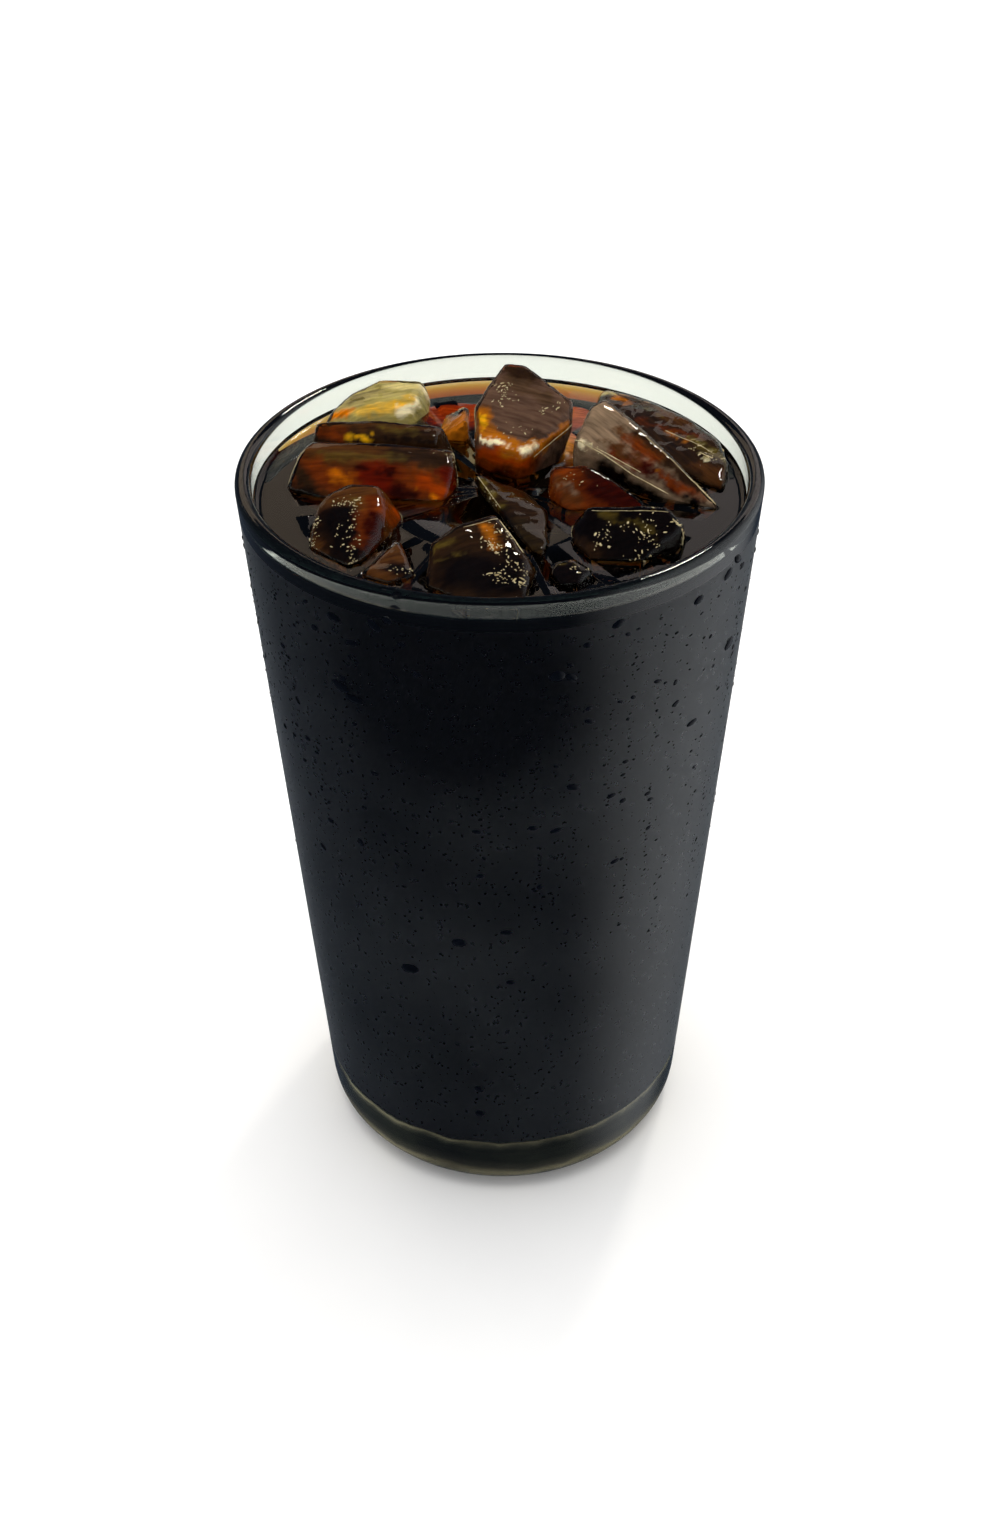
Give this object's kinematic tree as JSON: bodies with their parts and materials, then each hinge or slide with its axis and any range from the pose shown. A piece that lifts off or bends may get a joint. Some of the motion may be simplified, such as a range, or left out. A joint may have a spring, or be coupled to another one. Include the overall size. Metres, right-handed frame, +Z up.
{
  "type": "iced coffee",
  "caption": "Black iced coffee in a tall conical glass tumbler, filled almost to the rim, with clear melting ice breaking the surface.",
  "frame": {"origin": "middle of the glass's foot, on the surface that it stands on", "axes": "+Z up along the glass's axis, -Y towards the viewer, +X to the viewer's right"},
  "size_m": [0.0838, 0.0838, 0.1427],
  "materials": {
    "glass": "clear pressed glass, fogged and beaded with condensation outside",
    "coffee": "black coffee, glossy liquid surface",
    "ice": "clear wet melting ice"
  },
  "bodies": {
    "root": {"glass": "glass", "coffee": "coffee", "ice_back_left": "ice", "ice_slab_back": "ice", "ice_slab_front": "ice", "ice_cube": "ice", "ice_wedge": "ice", "ice_back_right": "ice", "ice_lump": "ice", "ice_front_right": "ice", "ice_front_centre": "ice", "ice_front_left": "ice", "ice_middle": "ice", "ice_chip_right": "ice", "ice_chip_left": "ice", "ice_sliver": "ice"}
  },
  "joints": []
}
